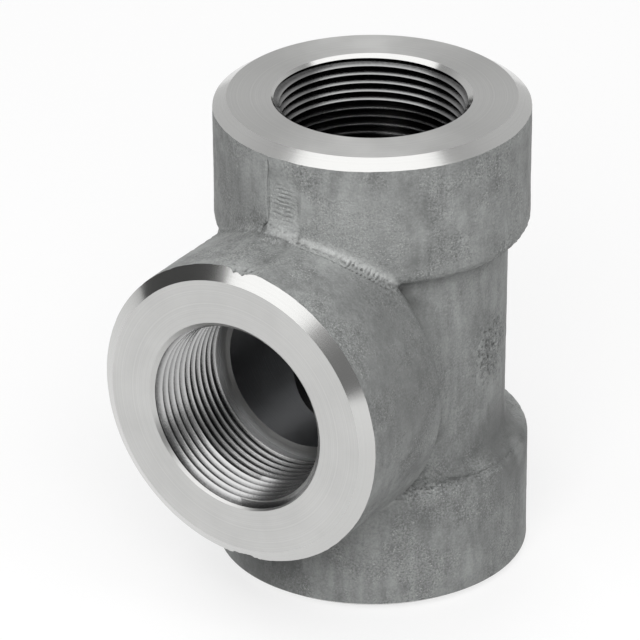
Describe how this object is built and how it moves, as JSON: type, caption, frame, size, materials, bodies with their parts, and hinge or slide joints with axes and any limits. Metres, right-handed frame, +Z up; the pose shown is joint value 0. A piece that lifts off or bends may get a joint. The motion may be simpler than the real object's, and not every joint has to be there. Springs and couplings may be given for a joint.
{
  "type": "threaded tee",
  "caption": "Forged steel pipe tee with equal internally threaded sockets on a straight run and one square branch.",
  "frame": {"origin": "middle of the lower run face, which the tee stands on", "axes": "+Z up the run, +X out of the branch, +Y across the flash plane"},
  "size_m": [0.098, 0.0764, 0.12],
  "materials": {
    "forged_steel": "matte forged skin with turned ends, bevels and threads left bright"
  },
  "bodies": {
    "root": {"tee_body": "forged_steel"}
  },
  "joints": []
}
